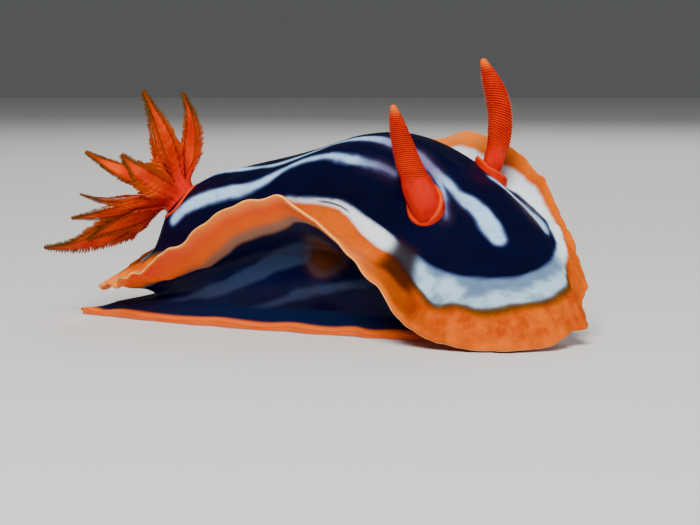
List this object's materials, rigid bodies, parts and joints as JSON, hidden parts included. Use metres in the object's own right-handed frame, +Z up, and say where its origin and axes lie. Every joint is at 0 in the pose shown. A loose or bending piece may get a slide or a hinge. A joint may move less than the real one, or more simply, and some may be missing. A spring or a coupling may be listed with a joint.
{
  "type": "sea slug model",
  "caption": "Life-size still model of a crawling striped sea slug: raised orange mantle edge, ringed head horns and a plume of feathery gills, flat foot below.",
  "frame": {"origin": "on the flat sole of the foot, under the middle of the body", "axes": "+X along the body's long way towards the head, +Y to the animal's left, +Z up"},
  "size_m": [0.0414, 0.0254, 0.0203],
  "materials": {
    "back_skin": "satin wet skin, navy black with pale blue-white stripes along the back",
    "mantle_skin": "satin wet skin, white band inside an orange margin with a fine cream edge",
    "foot_skin": "satin wet skin, grey blue with an orange margin",
    "rhinophore_skin": "satin red-orange skin with fine slanted leaves",
    "mouth_skin": "satin orange skin",
    "gill_skin": "satin red-orange skin, darker and thinner at the tips"
  },
  "bodies": {
    "root": {"head": "back_skin", "back_front": "back_skin", "back_rear": "back_skin", "mantle_front": "mantle_skin", "mantle_left_front": "mantle_skin", "mantle_left_rear": "mantle_skin", "mantle_rear": "mantle_skin", "mantle_right_front": "mantle_skin", "mantle_right_rear": "mantle_skin", "foot_front": "foot_skin", "foot_middle": "foot_skin", "foot_tail": "foot_skin", "rhinophore_left": "rhinophore_skin", "rhinophore_right": "rhinophore_skin", "rhinophore_sheath_left": "rhinophore_skin", "rhinophore_sheath_right": "rhinophore_skin", "oral_tentacle_left": "mouth_skin", "oral_tentacle_right": "mouth_skin", "gill_branch_01": "gill_skin", "gill_branch_02": "gill_skin", "gill_branch_03": "gill_skin", "gill_branch_04": "gill_skin", "gill_branch_05": "gill_skin", "gill_branch_06": "gill_skin", "gill_branch_07": "gill_skin", "gill_branch_08": "gill_skin", "gill_branch_09": "gill_skin", "gill_branch_10": "gill_skin", "gill_pocket": "gill_skin", "anal_papilla": "gill_skin"}
  },
  "joints": []
}
